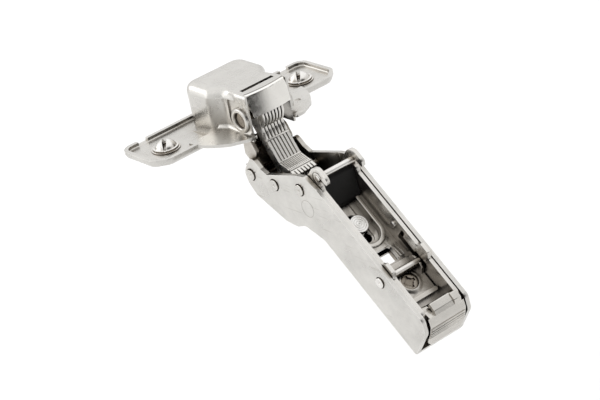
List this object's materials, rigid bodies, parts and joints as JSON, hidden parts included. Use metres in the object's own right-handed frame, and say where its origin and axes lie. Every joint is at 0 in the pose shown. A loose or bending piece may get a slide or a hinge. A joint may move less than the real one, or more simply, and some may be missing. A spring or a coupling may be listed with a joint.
{
  "type": "concealed cup hinge",
  "caption": "Concealed cabinet hinge: a pressed cup with two side wings, two link levers in the cup, and a channel arm with adjusting screws and a tail release lever.",
  "frame": {"origin": "centre of the 35 mm boring, on the door face the cup flange lies on", "axes": "+Z into the door (closed bottom of the cup is up), +X towards the open front of the cup, Y along all hinge pins; the door is about 49 degrees open"},
  "size_m": [0.0821, 0.0614, 0.0585],
  "materials": {
    "arm_channel": "satin nickel plate, fine scratches",
    "buffer_block": "black plastic",
    "cam_carriage": "satin nickel plate, fine scratches",
    "closing_spring": "oiled spring wire",
    "cup_body": "satin nickel plate, fine scratches",
    "cup_shield": "bright nickel plate",
    "depth_cam": "turned, darker recess",
    "front_cross_bar": "bright rod",
    "front_cup_pin": "plain steel",
    "front_lever_pin": "bright rivet",
    "inner_lever": "satin nickel plate",
    "inner_rail": "satin nickel plate, fine scratches",
    "rear_cross_pin": "bright rivet",
    "rear_cup_pin": "plain steel",
    "rear_lever_pin": "bright rivet",
    "release_axle": "plain rod",
    "release_lever": "satin nickel plate, fine scratches",
    "release_spring": "spring wire",
    "ribbed_lever": "satin nickel plate, darker in the grooves",
    "side_screw": "turned face with fine rings",
    "spring_pin": "bright rivet",
    "wing_studs": "bright nickel plate"
  },
  "bodies": {
    "rail": {"inner_rail": "inner_rail", "front_cross_bar": "front_cross_bar", "buffer_block": "buffer_block", "release_axle": "release_axle", "release_spring": "release_spring"},
    "carriage": {"cam_carriage": "cam_carriage"},
    "cam": {"depth_cam": "depth_cam"},
    "screw": {"side_screw": "side_screw"},
    "arm": {"arm_channel": "arm_channel", "front_lever_pin": "front_lever_pin", "rear_lever_pin": "rear_lever_pin", "spring_pin": "spring_pin", "rear_cross_pin": "rear_cross_pin", "closing_spring": "closing_spring"},
    "outer_link": {"ribbed_lever": "ribbed_lever"},
    "cup": {"cup_body": "cup_body", "cup_shield": "cup_shield", "front_cup_pin": "front_cup_pin", "rear_cup_pin": "rear_cup_pin", "wing_studs": "wing_studs"},
    "inner_link": {"inner_lever": "inner_lever"},
    "latch": {"release_lever": "release_lever"}
  },
  "joints": [
    {"name": "depth_slide", "type": "slide", "parent": "rail", "child": "carriage", "axis": [0.758, 0, -0.6523], "range_m": [-0.00095, 0.00095]},
    {"name": "depth_cam_turn", "type": "hinge", "parent": "carriage", "child": "cam", "pos_m": [0.05792, 0, -0.03368], "axis": [0.6523, 0, 0.758], "range_deg": [-60, 60]},
    {"name": "side_screw_turn", "type": "hinge", "parent": "carriage", "child": "screw", "pos_m": [0.04201, 0, -0.02196], "axis": [0.6523, 0, 0.758], "range_deg": [-194, 194]},
    {"name": "arm_tilt", "type": "hinge", "parent": "carriage", "child": "arm", "pos_m": [0.05674, 0, -0.03029], "axis": [0, 1, 0], "range_deg": [-1.49, 1.49]},
    {"name": "lever_swing", "type": "hinge", "parent": "arm", "child": "outer_link", "pos_m": [0.0207, 0, -0.01253], "axis": [0, 1, 0], "range_deg": [-18.4, 19.8]},
    {"name": "door_swing", "type": "hinge", "parent": "outer_link", "child": "cup", "pos_m": [0.01114, 0, 0.0032], "axis": [0, 1, 0], "range_deg": [-68.9, 63.9]},
    {"name": "inner_swing", "type": "hinge", "parent": "cup", "child": "inner_link", "pos_m": [0.0075, 0, 0.0053], "axis": [0, 1, 0], "range_deg": [-57.7, 62.2]},
    {"name": "release_press", "type": "hinge", "parent": "rail", "child": "latch", "pos_m": [0.06716, 0, -0.03734], "axis": [0, 1, 0], "range_deg": [0, 12], "stiffness_Nm_per_rad": 0.02, "springref_deg": -17.19}
  ],
  "couplings": [
    {"joint": "depth_cam_turn", "follows": "depth_slide", "rad_per_m": 1098.9},
    {"joint": "side_screw_turn", "follows": "arm_tilt", "ratio": -130.38},
    {"joint": "lever_swing", "follows": "door_swing", "ratio": -0.28571},
    {"joint": "inner_swing", "follows": "door_swing", "ratio": -0.9}
  ]
}
